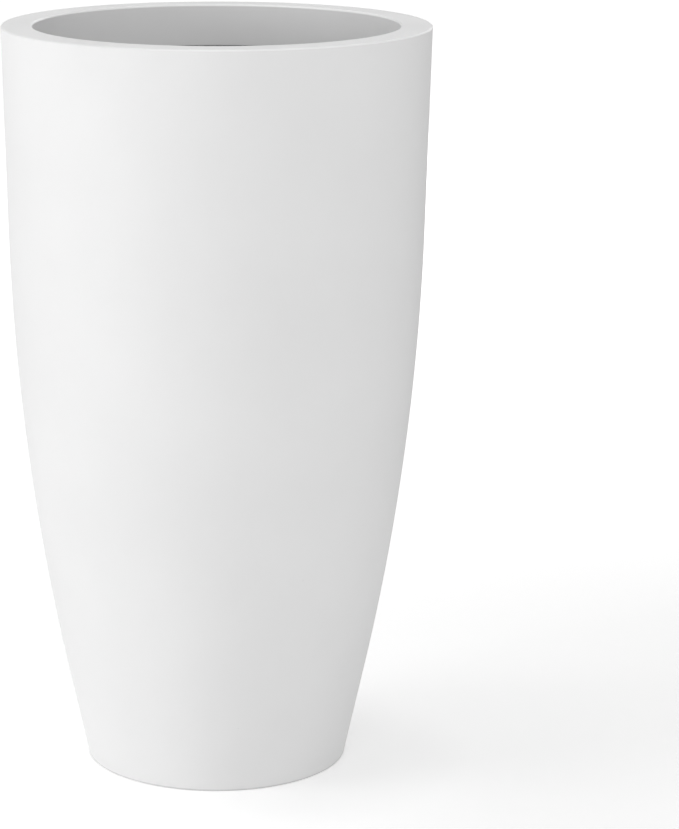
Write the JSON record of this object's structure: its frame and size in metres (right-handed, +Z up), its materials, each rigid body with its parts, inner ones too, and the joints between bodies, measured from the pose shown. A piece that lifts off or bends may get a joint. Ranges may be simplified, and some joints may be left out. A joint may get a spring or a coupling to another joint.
{
  "type": "tapered concrete planter",
  "caption": "Tall round floor planter of white fibre-reinforced concrete, with a wall that tapers in a shallow curve to a narrow foot, a thick flat lip and a rubber stopper in its drain hole.",
  "frame": {"origin": "on the pot's axis, in the plane of the foot ring that it stands on", "axes": "+Z up along the axis of the pot, from the foot to the mouth; the finger ridge of the stopper lies along X; -Y faces the viewer"},
  "size_m": [0.3399, 0.34, 0.6],
  "materials": {
    "white_face_concrete": "matte",
    "grey_backing_concrete": "matte",
    "glass_fibre_scrim": "satin",
    "black_rubber": "matte"
  },
  "bodies": {
    "pot": {"face_coat": "white_face_concrete", "wall_mesh": "glass_fibre_scrim", "floor_mesh": "glass_fibre_scrim", "backing_coat": "grey_backing_concrete"},
    "stopper": {"drain_plug": "black_rubber"}
  },
  "joints": [
    {"name": "stopper_pull", "type": "slide", "parent": "pot", "child": "stopper", "axis": [0, 0, 1], "range_m": [0, 0.62]}
  ]
}
